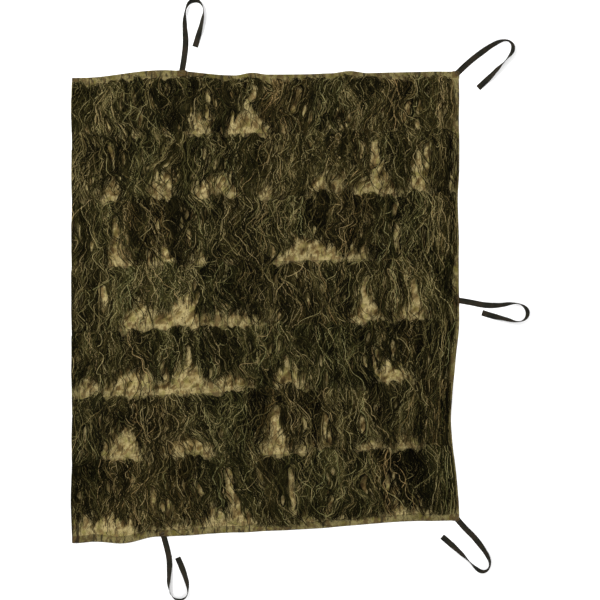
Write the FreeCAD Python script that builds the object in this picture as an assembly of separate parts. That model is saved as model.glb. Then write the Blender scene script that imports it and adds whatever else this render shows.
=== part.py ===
import FreeCAD, Part
import math
import os

# Layout field blind: a camouflage cover for one person lying on the ground. A light
# cloth backing with a folded hem carries seven rows of loose yarn, each held down by
# a narrow tape, and webbing ties are sewn to its corners and edges.
#
# Frame: millimetres, +Z up, the blind spread flat on the ground with its yarn on top.
# +X runs along the rows and +Y runs up the cover, away from the hanging yarn ends.
# The origin is on the ground under the middle of the spread cover.

# ---- the cover as it lies: a cloth that has settled a little out of square ----
HALF_WIDTH = 832.0
TOP_EDGE_MIDDLE = 995.0
TOP_EDGE_RISE = 15.0
BOTTOM_EDGE_MIDDLE = -967.5
BOTTOM_EDGE_RISE = 42.5

# ---- how its rims wander from straight lines: middle, reach to either side, and how far
# outwards the rim lies at the middle. The left rim and the seams stay straight. ----
TOP_HUMPS = [(-450.0, 330.0, 28.0), (-60.0, 70.0, 10.0), (360.0, 80.0, 8.0)]
BOTTOM_HUMPS = [(-800.0, 140.0, 10.0), (-620.0, 150.0, 22.0), (580.0, 360.0, -10.0)]
RIGHT_HUMPS = [(-470.0, 430.0, -34.0), (430.0, 160.0, -6.0)]
STEPS_ACROSS = 92
STEPS_UP = 20

# ---- layers, as heights above the ground ----
BACKING_UNDERSIDE = 1.2
CLOTH_TOP = 3.2
TAPE_TOP = 4.4
PATCH_TOP = 5.2
BARTACK_TOP = 5.8

# ---- hem, tapes and rows of yarn ----
HEM_WIDTH = 30.0
HEM_INNER = HALF_WIDTH - HEM_WIDTH
TAPE_HALF_WIDTH = 12.0
TAPE_END_INSET = 46.0
FIRST_ROW_DROP = 36.0
ROW_FRACTIONS = [0.134, 0.275, 0.416, 0.557, 0.698, 0.839]
YARN_RIGHT_INSET = 32.0
YARN_LEFT_INSET = 6.0
YARN_END_GAP = 31.0
YARN_START = 4.0
YARN_CREST = 20.0
YARN_CREST_HEIGHT = 30.0
YARN_START_HEIGHT = 24.0
YARN_SHOULDER_HEIGHT = 22.0
YARN_SHOULDER_SHARE = 0.65
YARN_END_HEIGHT = 12.0

# ---- fold lines, just above the third and the sixth row ----
FOLD_ABOVE_SEAM = 22.0
TOP_FOLD_ROW = 3
BOTTOM_FOLD_ROW = 6
PANEL_GAP = 0.6

# ---- webbing ties ----
WEBBING_WIDTH = 25.0
WEBBING_THICKNESS = 1.4
TAB_LENGTH = 22.0
EDGE_PATCH_WIDTH = 44.0
EDGE_PATCH_LENGTH = 24.0
CORNER_PATCH = 30.0
BARTACK_LENGTH = 18.0
BARTACK_WIDTH = 2.2
BARTACK_PITCH = 7.0
BARTACK_BARS = 2
TIE_EDGE_GAP = 0.4
ARC_SHARE = 0.45

# Each tie lies on the ground as it was dropped: out from the edge, round one turn and
# back towards the cover. The first point is the pivot at its sewn root.
TIE_ROUTES = {
    "top_tie": [
        (-357, 1024), (-350, 1062), (-342, 1135), (-348, 1213), (-344, 1275), (-325, 1309),
        (-288, 1314), (-264, 1281), (-270, 1234), (-285, 1172), (-303, 1114),
    ],
    "top_corner_tie": [
        (842, 1018), (873, 1048), (922, 1086), (970, 1119), (1008, 1138), (1040, 1142),
        (1062, 1124), (1063, 1094), (1040, 1064), (998, 1021), (955, 974), (914, 937),
    ],
    "right_tie": [
        (845, 22), (882, 16), (940, 3), (1004, 2), (1060, 13), (1103, 8), (1129, -22),
        (1118, -58), (1081, -70), (1030, -55), (978, -44), (931, -29),
    ],
    "bottom_corner_tie": [
        (840, -935), (859, -957), (892, -988), (929, -1034), (956, -1076), (965, -1106),
        (955, -1134), (927, -1142), (898, -1122), (868, -1088), (815, -1038), (759, -991),
    ],
    "bottom_tie": [
        (-434, -1003), (-422, -1045), (-412, -1096), (-414, -1152), (-418, -1208),
        (-404, -1247), (-370, -1266), (-335, -1247), (-331, -1206), (-350, -1142),
        (-378, -1081),
    ],
}


def top_edge(x):
    return TOP_EDGE_MIDDLE + TOP_EDGE_RISE * x / HALF_WIDTH


def bottom_edge(x):
    return BOTTOM_EDGE_MIDDLE + BOTTOM_EDGE_RISE * x / HALF_WIDTH


def seam(row, x):
    """Y of a row's seam at x, with row 1 beside the top hem."""
    if row == 1:
        return top_edge(x) - FIRST_ROW_DROP
    fraction = ROW_FRACTIONS[row - 2]
    return (1 - fraction) * top_edge(x) + fraction * bottom_edge(x)


def top_fold(x):
    return seam(TOP_FOLD_ROW, x) + FOLD_ABOVE_SEAM


def bottom_fold(x):
    return seam(BOTTOM_FOLD_ROW, x) + FOLD_ABOVE_SEAM


def wander(humps, place):
    """How far a rim lies outside its straight line at a place along it."""
    total = 0.0
    for middle, reach, height in humps:
        near = max(0.0, 1 - abs(place - middle) / reach)
        total += height * near * near * (3 - 2 * near)
    return total


def top_rim(x):
    return top_edge(x) + wander(TOP_HUMPS, x)


def bottom_rim(x):
    return bottom_edge(x) - wander(BOTTOM_HUMPS, x)


def right_rim(y):
    return HALF_WIDTH + wander(RIGHT_HUMPS, y)


def inner_top(x):
    return top_rim(x) - HEM_WIDTH


def inner_bottom(x):
    return bottom_rim(x) + HEM_WIDTH


def places_across():
    """X values from the left hem's inner side to the right hem's."""
    step = 2 * HEM_INNER / STEPS_ACROSS
    return [-HEM_INNER + step * i for i in range(STEPS_ACROSS + 1)]


def prism(corners, low, high):
    """An upright prism on a plan outline."""
    points = [FreeCAD.Vector(x, y, low) for x, y in corners]
    face = Part.Face(Part.makePolygon(points + points[:1]))
    return face.extrude(FreeCAD.Vector(0, 0, high - low))


def strip(left, right, lower, upper, low, high):
    """A piece between two x values and two lines that run across the cover."""
    corners = [(left, lower(left)), (right, lower(right)), (right, upper(right)), (left, upper(left))]
    return prism(corners, low, high)


def shifted(line, distance):
    return lambda x: line(x) + distance


def panel_limits():
    """Each panel's lower and upper line, with half the gap left at every fold."""
    half = PANEL_GAP / 2
    return {
        "top": (shifted(top_fold, half), inner_top),
        "middle": (shifted(bottom_fold, half), shifted(top_fold, -half)),
        "bottom": (inner_bottom, shifted(bottom_fold, -half)),
    }


def up_right_side(inset, lower, upper):
    """Points up the right side of a panel, so far inside its rim, between two lines."""
    low, high = (line(right_rim(line(HALF_WIDTH)) - inset) for line in (lower, upper))
    points = []
    for i in range(STEPS_UP + 1):
        y = low + (high - low) * i / STEPS_UP
        points.append((right_rim(y) - inset, y))
    return points


def make_backing(panel):
    """The cloth of one panel inside the hems, with a rim only where it has one."""
    lower, upper = panel_limits()[panel]
    across = places_across()[:-1]
    below = across if panel == "bottom" else across[:1]
    above = across if panel == "top" else across[:1]
    corners = [(x, lower(x)) for x in below]
    corners += up_right_side(HEM_WIDTH, lower, upper)
    corners += [(x, upper(x)) for x in reversed(above)]
    return prism(corners, BACKING_UNDERSIDE, CLOTH_TOP)


def make_left_hem(panel):
    lower, upper = panel_limits()[panel]
    return strip(-HALF_WIDTH, -HEM_INNER, lower, upper, 0, CLOTH_TOP)


def make_right_hem(panel):
    lower, upper = panel_limits()[panel]
    inner = up_right_side(HEM_WIDTH, lower, upper)
    outer = up_right_side(0, lower, upper)
    return prism(inner + outer[::-1], 0, CLOTH_TOP)


def make_end_hem(outer, inner):
    """The top or the bottom hem, which runs the full width of the cover."""
    places = [-HALF_WIDTH] + places_across() + [HALF_WIDTH]
    corners = [(x, outer(x)) for x in places] + [(x, inner(x)) for x in reversed(places)]
    return prism(corners, 0, CLOTH_TOP)


def make_row_tape(row):
    """The tape that holds one row of yarn down along its seam."""
    half = HALF_WIDTH - TAPE_END_INSET
    right = half + wander(RIGHT_HUMPS, seam(row, half))
    line = lambda x: seam(row, x)
    lower = shifted(line, -TAPE_HALF_WIDTH)
    upper = shifted(line, TAPE_HALF_WIDTH)
    return strip(-half, right, lower, upper, CLOTH_TOP, TAPE_TOP)


def row_length(row):
    """How far a row's yarn hangs below its seam, up to a gap before the next row."""
    if row == len(ROW_FRACTIONS) + 1:
        below = shifted(bottom_edge, HEM_WIDTH)
    else:
        below = lambda x: seam(row + 1, x)
    return min(seam(row, x) - below(x) for x in (-HALF_WIDTH, HALF_WIDTH)) - YARN_END_GAP


def make_thread_row(row):
    """The outer shape of one row of loose yarn: crest near its seam, thin at its ends."""
    length = row_length(row)
    left = -HALF_WIDTH + YARN_LEFT_INSET
    heights = [seam(row, HALF_WIDTH) - length * i / STEPS_UP for i in range(STEPS_UP + 1)]
    right = min(right_rim(y) for y in heights) - YARN_RIGHT_INSET
    profile = [
        (-YARN_START, TAPE_TOP),
        (length, TAPE_TOP),
        (length, YARN_END_HEIGHT),
        (YARN_SHOULDER_SHARE * length, YARN_SHOULDER_HEIGHT),
        (YARN_CREST, YARN_CREST_HEIGHT),
        (0, YARN_START_HEIGHT),
    ]
    points = [FreeCAD.Vector(left, seam(row, left) - drop, z) for drop, z in profile]
    face = Part.Face(Part.makePolygon(points + points[:1]))
    along = FreeCAD.Vector(right - left, seam(row, right) - seam(row, left), 0)
    return face.extrude(along)


def edge_point(name):
    """Where a tie meets the cover's edge, and the unit direction in which it leaves."""
    (x0, y0), (x1, y1) = TIE_ROUTES[name][:2]
    run = math.hypot(x1 - x0, y1 - y0)
    way = ((x1 - x0) / run, (y1 - y0) / run)
    back = WEBBING_WIDTH / 2 + TIE_EDGE_GAP
    return (x0 - way[0] * back, y0 - way[1] * back), way


def turned_box(centre, way, along, across, low, high):
    """A flat box round centre, with its length along a direction in plan."""
    side = (-way[1], way[0])
    corners = []
    for a, s in ((-1, -1), (1, -1), (1, 1), (-1, 1)):
        x = centre[0] + a * along / 2 * way[0] + s * across / 2 * side[0]
        y = centre[1] + a * along / 2 * way[1] + s * across / 2 * side[1]
        corners.append((x, y))
    return prism(corners, low, high)


def edge_zone(name, depth, half_span):
    """A piece of the hem beside a tie, as a plan box that stays inside the edge."""
    (x, y), _ = edge_point(name)
    if name == "right_tie":
        return [
            (HALF_WIDTH - depth, y - half_span), (HALF_WIDTH, y - half_span),
            (HALF_WIDTH, y + half_span), (HALF_WIDTH - depth, y + half_span),
        ]
    edge, inward = (top_rim, -depth) if name == "top_tie" else (bottom_rim, depth)
    left = x - half_span
    right = x + half_span
    outline = [(left, edge(left)), (right, edge(right)),
               (right, edge(right) + inward), (left, edge(left) + inward)]
    return outline


def make_tie_patch(name):
    """The cloth square sewn over the hem where a tie is attached along an edge."""
    return prism(edge_zone(name, EDGE_PATCH_LENGTH, EDGE_PATCH_WIDTH / 2), TAPE_TOP, PATCH_TOP)


def make_tie_tab(name):
    """The sewn-down end of an edge tie, between the hem and its patch."""
    return prism(edge_zone(name, TAB_LENGTH, WEBBING_WIDTH / 2), CLOTH_TOP, TAPE_TOP)


def corner_zone(side, end):
    """A corner square of the hem: side -1 left or 1 right, end -1 bottom or 1 top."""
    edge = top_rim if end > 0 else bottom_rim
    outer = side * HALF_WIDTH
    inner = outer - side * CORNER_PATCH
    return [(inner, edge(inner) - end * CORNER_PATCH), (outer, edge(outer) - end * CORNER_PATCH),
            (outer, edge(outer)), (inner, edge(inner))]


def make_corner_patch(side, end):
    return prism(corner_zone(side, end), TAPE_TOP, PATCH_TOP)


def make_corner_tab(name, end):
    """The sewn-down end of a corner tie, laid across the corner of the hem."""
    corner, way = edge_point(name)
    middle = (corner[0] - way[0] * TAB_LENGTH / 2, corner[1] - way[1] * TAB_LENGTH / 2)
    tab = turned_box(middle, way, TAB_LENGTH, WEBBING_WIDTH, CLOTH_TOP, TAPE_TOP)
    return tab.common(prism(corner_zone(1, end), CLOTH_TOP, TAPE_TOP))


def make_bartack(name):
    """Dense bars of stitching that lock a tie to the cover, across its direction."""
    corner, way = edge_point(name)
    bars = []
    for bar in range(BARTACK_BARS):
        back = TAB_LENGTH / 2 + (bar - (BARTACK_BARS - 1) / 2) * BARTACK_PITCH
        centre = (corner[0] - way[0] * back, corner[1] - way[1] * back)
        bars.append(turned_box(centre, way, BARTACK_WIDTH, BARTACK_LENGTH, PATCH_TOP, BARTACK_TOP))
    return Part.makeCompound(bars)


def measured_route(points):
    """The straight runs and tangent arcs of a route, as (start, end, centre, turn)."""
    pieces = []
    place = points[0]
    for before, corner, after in zip(points, points[1:], points[2:]):
        run_in = math.dist(before, corner)
        run_out = math.dist(corner, after)
        way_in = ((corner[0] - before[0]) / run_in, (corner[1] - before[1]) / run_in)
        way_out = ((after[0] - corner[0]) / run_out, (after[1] - corner[1]) / run_out)
        cross = way_in[0] * way_out[1] - way_in[1] * way_out[0]
        turn = math.atan2(cross, way_in[0] * way_out[0] + way_in[1] * way_out[1])
        cut = ARC_SHARE * min(run_in, run_out)
        radius = cut / math.tan(abs(turn) / 2)
        start = (corner[0] - way_in[0] * cut, corner[1] - way_in[1] * cut)
        end = (corner[0] + way_out[0] * cut, corner[1] + way_out[1] * cut)
        lean = math.copysign(radius, turn)
        centre = (start[0] - way_in[1] * lean, start[1] + way_in[0] * lean)
        pieces.append((place, start, None, 0.0))
        pieces.append((start, end, centre, turn))
        place = end
    pieces.append((place, points[-1], None, 0.0))
    return pieces


def route_length(pieces):
    total = 0.0
    for start, end, centre, turn in pieces:
        total += math.dist(start, end) if centre is None else math.dist(start, centre) * abs(turn)
    return total


def side_edges(pieces, offset):
    """The edges of the route moved sideways by offset, positive to the left."""
    edges = []
    for start, end, centre, turn in pieces:
        if centre is None:
            run = math.dist(start, end)
            across = (-(end[1] - start[1]) / run * offset, (end[0] - start[0]) / run * offset)
            a = FreeCAD.Vector(start[0] + across[0], start[1] + across[1], 0)
            b = FreeCAD.Vector(end[0] + across[0], end[1] + across[1], 0)
            edges.append(Part.LineSegment(a, b).toShape())
            continue
        radius = math.dist(start, centre)
        scale = (radius - math.copysign(offset, turn * offset)) / radius
        first = math.atan2(start[1] - centre[1], start[0] - centre[0])
        places = []
        for share in (0.0, 0.5, 1.0):
            angle = first + share * turn
            reach = radius * scale
            places.append(FreeCAD.Vector(centre[0] + reach * math.cos(angle),
                                         centre[1] + reach * math.sin(angle), 0))
        edges.append(Part.Arc(*places).toShape())
    return edges


def make_tie(name):
    """A webbing tie lying flat along its route, with a rounded root and a cut end."""
    pieces = measured_route(TIE_ROUTES[name])
    half = WEBBING_WIDTH / 2
    left = side_edges(pieces, half)
    right = side_edges(pieces, -half)
    _, way = edge_point(name)
    root = TIE_ROUTES[name][0]
    cap = Part.Arc(
        left[0].Vertexes[0].Point,
        FreeCAD.Vector(root[0] - way[0] * half, root[1] - way[1] * half, 0),
        right[0].Vertexes[0].Point,
    ).toShape()
    tip = Part.LineSegment(left[-1].Vertexes[-1].Point, right[-1].Vertexes[-1].Point).toShape()
    outline = Part.Wire(Part.__sortEdges__(left + right + [cap, tip]))
    solid = Part.Face(outline).extrude(FreeCAD.Vector(0, 0, WEBBING_THICKNESS))
    report_tie(name, pieces, solid)
    return solid


def report_tie(name, pieces, solid):
    """Prints a tie's length and radii, and its volume against section times length."""
    length = route_length(pieces)
    radii = [round(math.dist(start, centre)) for start, _, centre, _ in pieces if centre is not None]
    cap_area = math.pi * WEBBING_WIDTH ** 2 / 8
    expected = (length * WEBBING_WIDTH + cap_area) * WEBBING_THICKNESS
    print(f"{name}: length {length:.1f}, radii {radii}, volume {solid.Volume:.1f} of {expected:.1f}")


def build_cover():
    parts = {}
    for panel in ("top", "middle", "bottom"):
        parts[f"backing_{panel}"] = make_backing(panel)
        parts[f"left_hem_{panel}"] = make_left_hem(panel)
        parts[f"right_hem_{panel}"] = make_right_hem(panel)
    parts["top_hem"] = make_end_hem(top_rim, inner_top)
    parts["bottom_hem"] = make_end_hem(bottom_rim, inner_bottom)
    for row in range(1, len(ROW_FRACTIONS) + 2):
        parts[f"row_tape_{row}"] = make_row_tape(row)
        parts[f"thread_row_{row}"] = make_thread_row(row)
    return parts


def build_ties():
    parts = {}
    for end, word in ((1, "top"), (-1, "bottom")):
        parts[f"{word}_left_corner_patch"] = make_corner_patch(-1, end)
        parts[f"{word}_right_corner_patch"] = make_corner_patch(1, end)
        parts[f"{word}_corner_tie_tab"] = make_corner_tab(f"{word}_corner_tie", end)
    for name in ("top_tie", "right_tie", "bottom_tie"):
        parts[f"{name}_patch"] = make_tie_patch(name)
        parts[f"{name}_tab"] = make_tie_tab(name)
    for name in TIE_ROUTES:
        parts[f"{name}_bartack"] = make_bartack(name)
        parts[name] = make_tie(name)
    return parts


def main():
    os.makedirs("parts", exist_ok=True)
    parts = build_cover()
    parts.update(build_ties())
    for name, shape in parts.items():
        shape.exportStep(f"parts/{name}.step")
    print(len(parts), "parts")
    for line, height in ((top_fold, "top"), (bottom_fold, "bottom")):
        rise = line(HALF_WIDTH) - line(-HALF_WIDTH)
        print(f"{height}_fold through (0, {line(0):.3f}), rise {rise:.3f} over {2 * HALF_WIDTH}")


main()
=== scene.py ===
import math

import bpy
import numpy as np
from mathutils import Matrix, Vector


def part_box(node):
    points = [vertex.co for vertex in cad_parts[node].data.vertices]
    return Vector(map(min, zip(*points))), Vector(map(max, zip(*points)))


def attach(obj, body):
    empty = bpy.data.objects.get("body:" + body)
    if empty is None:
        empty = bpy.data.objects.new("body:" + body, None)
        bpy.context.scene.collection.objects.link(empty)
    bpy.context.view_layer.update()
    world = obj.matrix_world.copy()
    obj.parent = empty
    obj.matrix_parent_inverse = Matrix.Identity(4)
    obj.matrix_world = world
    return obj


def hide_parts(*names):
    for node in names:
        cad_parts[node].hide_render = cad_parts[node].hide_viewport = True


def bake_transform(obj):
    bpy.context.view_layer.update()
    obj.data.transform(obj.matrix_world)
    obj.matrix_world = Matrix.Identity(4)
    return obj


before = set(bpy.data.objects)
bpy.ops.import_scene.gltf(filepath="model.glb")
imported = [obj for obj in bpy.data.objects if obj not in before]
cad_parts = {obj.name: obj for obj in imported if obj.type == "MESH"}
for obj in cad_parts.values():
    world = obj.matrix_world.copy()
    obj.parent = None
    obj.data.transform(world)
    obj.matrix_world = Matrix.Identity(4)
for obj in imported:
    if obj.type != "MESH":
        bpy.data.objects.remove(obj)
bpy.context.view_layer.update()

# The blind lies flat with its yarn on top: +X along the rows, +Y up the cover, metres.

# ---- sizes shared with the CAD model ----
HALF_WIDTH = 0.832
HEM_WIDTH = 0.030
FIRST_ROW_DROP = 0.036
ROW_FRACTIONS = [0.134, 0.275, 0.416, 0.557, 0.698, 0.839]
FOLD_ABOVE_SEAM = 0.022
TAPE_HALF_WIDTH = 0.012
TAPE_END_INSET = 0.046
WEBBING_WIDTH = 0.025
WEBBING_THICKNESS = 0.0014
ROWS = range(1, 8)

# ---- each tie's route on the ground, from the pivot at its sewn root ----
TIE_ROUTES = {
    "top_tie": [
        (-0.357, 1.024), (-0.350, 1.062), (-0.342, 1.135), (-0.348, 1.213), (-0.344, 1.275),
        (-0.325, 1.309), (-0.288, 1.314), (-0.264, 1.281), (-0.270, 1.234), (-0.285, 1.172),
        (-0.303, 1.114),
    ],
    "top_corner_tie": [
        (0.842, 1.018), (0.873, 1.048), (0.922, 1.086), (0.970, 1.119), (1.008, 1.138),
        (1.040, 1.142), (1.062, 1.124), (1.063, 1.094), (1.040, 1.064), (0.998, 1.021),
        (0.955, 0.974), (0.914, 0.937),
    ],
    "right_tie": [
        (0.845, 0.022), (0.882, 0.016), (0.940, 0.003), (1.004, 0.002), (1.060, 0.013),
        (1.103, 0.008), (1.129, -0.022), (1.118, -0.058), (1.081, -0.070), (1.030, -0.055),
        (0.978, -0.044), (0.931, -0.029),
    ],
    "bottom_corner_tie": [
        (0.840, -0.935), (0.859, -0.957), (0.892, -0.988), (0.929, -1.034), (0.956, -1.076),
        (0.965, -1.106), (0.955, -1.134), (0.927, -1.142), (0.898, -1.122), (0.868, -1.088),
        (0.815, -1.038), (0.759, -0.991),
    ],
    "bottom_tie": [
        (-0.434, -1.003), (-0.422, -1.045), (-0.412, -1.096), (-0.414, -1.152),
        (-0.418, -1.208), (-0.404, -1.247), (-0.370, -1.266), (-0.335, -1.247),
        (-0.331, -1.206), (-0.350, -1.142), (-0.378, -1.081),
    ],
}
PANELS = {"top": "top_panel", "right": "middle_panel", "bottom": "bottom_panel"}


def panel_of(name):
    """The panel that a tie or a patch is sewn to, told by the first word of its name."""
    return PANELS[name.split("_")[0]]


# ---- the cover's lines ----
def straight(middle, rise):
    """y as a function of x on a straight line across the cover."""
    return lambda x: middle + rise * x / HALF_WIDTH


def seam_line(row):
    """The seam of a row, shared out between the top and the bottom edge."""
    if row == 1:
        return lambda x: TOP_EDGE(x) - FIRST_ROW_DROP
    share = ROW_FRACTIONS[row - 2]
    return lambda x: (1 - share) * TOP_EDGE(x) + share * BOTTOM_EDGE(x)


def shifted(line, amount):
    return lambda x: line(x) + amount


TOP_EDGE = straight(0.995, 0.015)
BOTTOM_EDGE = straight(-0.9675, 0.0425)
SEAMS = {row: seam_line(row) for row in ROWS}
TOP_FOLD = shifted(SEAMS[3], FOLD_ABOVE_SEAM)
BOTTOM_FOLD = shifted(SEAMS[6], FOLD_ABOVE_SEAM)


# ---- noise and meshes ----
def smooth_step(t):
    t = np.clip(t, 0, 1)
    return t * t * (3 - 2 * t)


def noise(x, y, seed):
    """Smooth noise from -1 to 1 whose cells are one unit wide."""
    xi = np.floor(x).astype(np.int64)
    yi = np.floor(y).astype(np.int64)
    xs = smooth_step(x - xi)
    ys = smooth_step(y - yi)

    def corner(i, j):
        h = (i * 374761393 + j * 668265263 + seed * 974634777) & 0xFFFFFFFF
        h = ((h ^ (h >> 13)) * 1274126177) & 0xFFFFFFFF
        return ((h ^ (h >> 16)) & 0xFFFF) / 32767.5 - 1

    low = corner(xi, yi) * (1 - xs) + corner(xi + 1, yi) * xs
    high = corner(xi, yi + 1) * (1 - xs) + corner(xi + 1, yi + 1) * xs
    return low * (1 - ys) + high * ys


def make_mesh(name, points, faces, material, smooth=True):
    """A mesh object from an (n, 3) array of points and an (m, k) array of corners."""
    mesh = bpy.data.meshes.new(name)
    mesh.vertices.add(len(points))
    mesh.vertices.foreach_set("co", np.ascontiguousarray(points, np.float32).ravel())
    mesh.loops.add(faces.size)
    mesh.loops.foreach_set("vertex_index", np.ascontiguousarray(faces, np.int32).ravel())
    mesh.polygons.add(len(faces))
    mesh.polygons.foreach_set("loop_start", np.arange(0, faces.size, faces.shape[1], dtype=np.int32))
    mesh.polygons.foreach_set("use_smooth", np.full(len(faces), smooth))
    mesh.update(calc_edges=True)
    mesh.validate()
    obj = bpy.data.objects.new(name, mesh)
    bpy.context.scene.collection.objects.link(obj)
    mesh.materials.append(material)
    return obj


def store(obj, name, values):
    """Keeps a number, or a vector of three, for each point of a mesh."""
    kind = "FLOAT" if values.ndim == 1 else "FLOAT_VECTOR"
    layer = obj.data.attributes.new(name, kind, "POINT")
    field = "value" if values.ndim == 1 else "vector"
    layer.data.foreach_set(field, np.ascontiguousarray(values, np.float32).ravel())


def grid_faces(rows, columns):
    """Quads of a grid of points stored row by row."""
    a = (np.arange(rows - 1)[:, None] * columns + np.arange(columns - 1)[None, :]).ravel()
    return np.stack([a, a + 1, a + columns + 1, a + columns], axis=1)


def loop_faces(rings, sides):
    """Quads of a tube whose rings have their points stored one ring after another."""
    ring = np.arange(rings - 1)[:, None] * sides
    side = np.arange(sides)[None, :]
    following = (side + 1) % sides
    a = (ring + side).ravel()
    b = (ring + following).ravel()
    return np.stack([a, b, b + sides, a + sides], axis=1)


def slab(name, top, thickness, material):
    """A closed sheet from an (r, c, 3) grid of points on its upper side."""
    rows, columns, _ = top.shape
    under = top.copy()
    under[:, :, 2] -= thickness
    upper = grid_faces(rows, columns)
    count = rows * columns
    index = np.arange(count).reshape(rows, columns)
    rim = np.concatenate([index[0, :-1], index[:-1, -1], index[-1, :0:-1], index[:0:-1, 0]])
    ahead = np.roll(rim, -1)
    sides = np.stack([ahead, rim, rim + count, ahead + count], axis=1)
    quads = np.concatenate([upper, upper[:, [0, 3, 2, 1]] + count, sides])
    faces = np.concatenate([quads[:, :3], quads[:, [0, 2, 3]]])
    points = np.concatenate([top.reshape(-1, 3), under.reshape(-1, 3)])
    obj = make_mesh(name, points, faces, material)
    store(obj, "cloth", points)
    return obj


# ---- materials ----
def new_material(name):
    material = bpy.data.materials.new(name)
    material.use_nodes = True
    tree = material.node_tree
    return material, tree, tree.nodes["Principled BSDF"]


def add_node(tree, kind, **values):
    """A node with its named inputs or properties set."""
    node = tree.nodes.new(kind)
    for key, value in values.items():
        if key in node.inputs:
            node.inputs[key].default_value = value
        else:
            setattr(node, key, value)
    return node


def srgb(red, green, blue):
    """A colour given as 0 to 255 screen values, as the linear colour that a node takes."""
    linear = []
    for value in (red, green, blue):
        v = value / 255
        linear.append(v / 12.92 if v <= 0.04045 else ((v + 0.055) / 1.055) ** 2.4)
    return (*linear, 1)


def ramp_over(tree, socket, stops):
    """A colour ramp over a socket, from (position, colour) pairs."""
    ramp = tree.nodes.new("ShaderNodeValToRGB")
    points = ramp.color_ramp.elements
    while len(points) < len(stops):
        points.new(1.0)
    for point, (position, colour) in zip(points, stops):
        point.position = position
        point.color = colour
    tree.links.new(socket, ramp.inputs[0])
    return ramp.outputs[0]


def mix_colours(tree, factor, a, b, mode="MIX"):
    """A mix of two sockets or colours, by a socket or a number."""
    mix = tree.nodes.new("ShaderNodeMix")
    mix.data_type = "RGBA"
    mix.blend_type = mode
    for place, value in ((0, factor), (6, a), (7, b)):
        if isinstance(value, bpy.types.NodeSocket):
            tree.links.new(value, mix.inputs[place])
        else:
            mix.inputs[place].default_value = value
    return mix.outputs[2]


def tinted(tree, colour, tint):
    return mix_colours(tree, 1.0, colour, tint, "MULTIPLY")


def noise_of(tree, place, scale, detail=3.0, roughness=0.55, stretch=(1, 1, 1)):
    """Noise at a scale per metre over a coordinate socket, stretched along the axes."""
    mapping = add_node(tree, "ShaderNodeMapping", Scale=stretch)
    texture = add_node(tree, "ShaderNodeTexNoise", Scale=scale, Detail=detail, Roughness=roughness)
    tree.links.new(place, mapping.inputs["Vector"])
    tree.links.new(mapping.outputs[0], texture.inputs["Vector"])
    return texture.outputs["Fac"]


def stored_value(tree, name, output="Fac"):
    """The output socket that reads what store() kept for each point."""
    return add_node(tree, "ShaderNodeAttribute", attribute_name=name).outputs[output]


def object_place(tree):
    return add_node(tree, "ShaderNodeTexCoord").outputs["Object"]


def finish_shader(tree, shader, colour, rough, low, high, specular=0.5):
    """Gives a shader its colour, its shine, and a roughness between low and high."""
    tree.links.new(colour, shader.inputs["Base Color"])
    span = add_node(tree, "ShaderNodeMapRange", **{"To Min": low, "To Max": high})
    tree.links.new(rough, span.inputs["Value"])
    tree.links.new(span.outputs[0], shader.inputs["Roughness"])
    shader.inputs["Specular IOR Level"].default_value = specular


def add_bump(tree, shader, socket, distance):
    bump = add_node(tree, "ShaderNodeBump", Strength=0.6, Distance=distance)
    tree.links.new(socket, bump.inputs["Height"])
    tree.links.new(bump.outputs[0], shader.inputs["Normal"])


BLACK = (0, 0, 0, 1)
WHITE = (1, 1, 1, 1)
GREY = (0.6, 0.6, 0.6, 1)
THREADS = {"Scale": 1.0, "Brick Width": 0.0016, "Row Height": 0.0008, "Mortar Size": 0.00018}


def camouflage_cloth(name, colours, shaded_creases=False):
    """Woven cloth printed with leaf litter and stalks, in pale, olive, brown and dark, with painted
    shade in the valleys of its creases when asked.
    """
    material, tree, shader = new_material(name)
    pale, olive, brown, dark = [srgb(*colour) for colour in colours]
    place = stored_value(tree, "cloth", "Vector")
    mottle = noise_of(tree, place, 26, 4, 0.6)
    colour = ramp_over(tree, mottle, [(0.38, olive), (0.52, pale), (0.68, pale)])
    # Leaves, then stalks, then veins, each printed over what is there.
    for ink, scale, detail, roughness, stretch, stops in (
        (brown, 46, 5, 0.65, 0.6, [(0.5, BLACK), (0.57, WHITE)]),
        (dark, 80, 3, 0.55, 0.25, [(0.57, BLACK), (0.63, WHITE)]),
        (dark, 38, 3, 0.6, 0.7, [(0.44, BLACK), (0.47, GREY), (0.50, BLACK), (0.55, BLACK),
                                 (0.58, GREY), (0.61, BLACK)]),
    ):
        shape = noise_of(tree, place, scale, detail, roughness, (1, stretch, 1))
        colour = mix_colours(tree, ramp_over(tree, shape, stops), colour, ink)
    soil = noise_of(tree, place, 7, 3, 0.5)
    soil_tint = ramp_over(tree, soil, [(0.3, (0.72, 0.72, 0.7, 1)), (0.62, WHITE)])
    colour = tinted(tree, colour, soil_tint)
    # Painted shade: the cloth is darkened towards brown in the valleys of its creases, by the stored
    # crest value.
    if shaded_creases:
        crease_shade = ramp_over(tree, stored_value(tree, "crest"), [
            (0.0, (0.24, 0.20, 0.14, 1)), (0.25, (0.60, 0.54, 0.44, 1)), (0.55, WHITE)])
        colour = tinted(tree, colour, crease_shade)
    weave = add_node(tree, "ShaderNodeTexBrick", **THREADS)
    tree.links.new(place, weave.inputs["Vector"])
    add_bump(tree, shader, weave.outputs["Fac"], -0.0003)
    finish_shader(tree, shader, colour, mottle, 0.78, 0.95, 0.1)
    return material


# Yarn colours from dark to pale over each strand's fading with painted shade.
YARN_FADE_AND_SHADE = [
    (0.0, srgb(7, 6, 1)), (0.25, srgb(27, 25, 9)), (0.5, srgb(55, 50, 25)),
    (0.75, srgb(101, 92, 60)), (1.0, srgb(147, 135, 98)),
]
YARN_TINTS = [
    (0.0, (0.84, 1.0, 0.84, 1)), (0.3, (0.96, 0.99, 0.86, 1)), (0.5, (1.02, 0.98, 0.90, 1)),
    (0.7, (1.08, 0.98, 0.88, 1)), (1.0, (1.18, 0.93, 0.76, 1)),
]


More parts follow.
